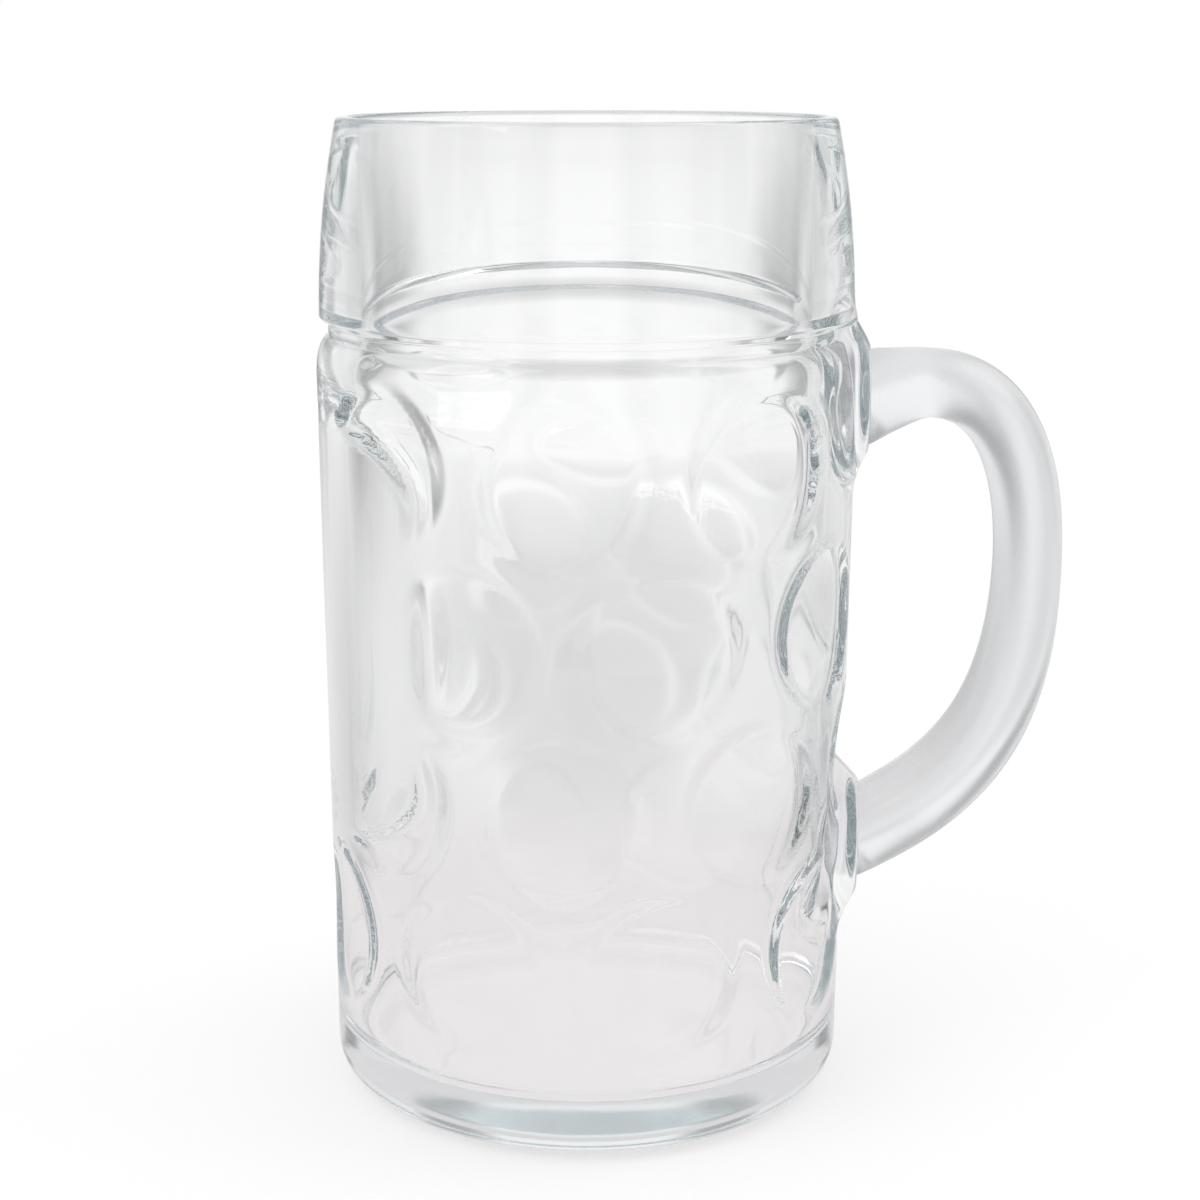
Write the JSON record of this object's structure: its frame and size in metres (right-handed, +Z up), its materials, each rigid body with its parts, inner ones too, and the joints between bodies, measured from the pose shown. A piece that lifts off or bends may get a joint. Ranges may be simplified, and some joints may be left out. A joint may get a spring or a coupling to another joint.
{
  "type": "beer mug",
  "caption": "Dimpled clear-glass beer mug with a thick base, plain drinking collar above a ring groove, a plain label panel and a fused C-shaped handle.",
  "frame": {"origin": "centre of the flat face that the mug rests on, on the axis of the mug", "axes": "+Z up along the axis of the mug, +X towards the handle, +Y to the left when the handle points at the viewer's front"},
  "size_m": [0.1521, 0.1096, 0.2],
  "materials": {
    "body_glass": "fire-polished clear soda-lime glass",
    "handle_glass": "fire-polished clear soda-lime glass"
  },
  "bodies": {
    "root": {"mug_body": "body_glass", "handle": "handle_glass"}
  },
  "joints": []
}
